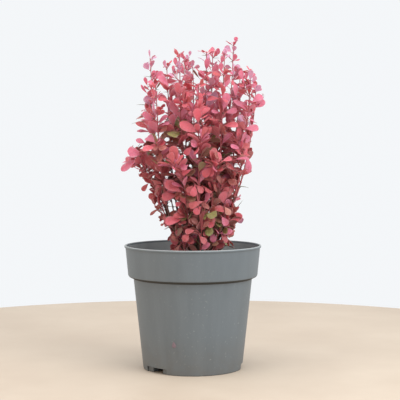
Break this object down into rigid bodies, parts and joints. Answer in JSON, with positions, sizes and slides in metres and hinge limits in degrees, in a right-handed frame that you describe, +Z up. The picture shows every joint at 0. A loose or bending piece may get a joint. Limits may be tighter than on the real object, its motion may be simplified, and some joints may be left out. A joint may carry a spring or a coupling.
{
  "type": "potted japanese barberry shrub",
  "caption": "Young upright Japanese barberry with rose-red spoon-shaped leaves on many canes, growing in a grey plastic nursery pot with a deep collar.",
  "frame": {"origin": "middle of the pot's flat underside, on the surface it stands on", "axes": "+Z up along the pot's axis, -Y towards the front seen in the picture, +X to its right"},
  "size_m": [0.201, 0.19, 0.4616],
  "materials": {
    "pot": "satin moulded grey",
    "compost": "crumbly moist peat",
    "bark": "fine ridged red-brown bark",
    "leaf": "soft satin rose-red leaf"
  },
  "bodies": {
    "root": {"cane_back_low": "bark", "cane_back_middle": "bark", "cane_back_right": "bark", "cane_front_left_low": "bark", "cane_front_low": "bark", "cane_front_middle": "bark", "cane_heart": "bark", "cane_left_back": "bark", "cane_left_edge": "bark", "cane_left_front": "bark", "cane_right_back": "bark", "cane_right_edge": "bark", "cane_right_front": "bark", "cane_right_lean": "bark", "cane_tallest": "bark", "pot": "pot", "root_collar": "bark", "shoot_back_low": "leaf", "shoot_back_middle": "leaf", "shoot_back_right": "leaf", "shoot_front_left_low": "leaf", "shoot_front_low": "leaf", "shoot_front_middle": "leaf", "shoot_heart": "leaf", "shoot_left_back": "leaf", "shoot_left_edge": "leaf", "shoot_left_front": "leaf", "shoot_right_back": "leaf", "shoot_right_edge": "leaf", "shoot_right_front": "leaf", "shoot_right_lean": "leaf", "shoot_tallest": "leaf", "soil": "compost", "spray_low_back_left": "leaf", "spray_low_back_right": "leaf", "spray_low_front": "leaf", "spray_low_front_left": "leaf", "spray_low_front_right": "leaf", "spray_low_left": "leaf", "spray_low_right": "leaf", "spray_mid_back": "leaf", "spray_mid_back_left": "leaf", "spray_mid_back_right": "leaf", "spray_mid_front_left": "leaf", "spray_mid_front_right": "leaf", "spray_mid_left": "leaf", "spray_mid_right": "leaf"}
  },
  "joints": []
}
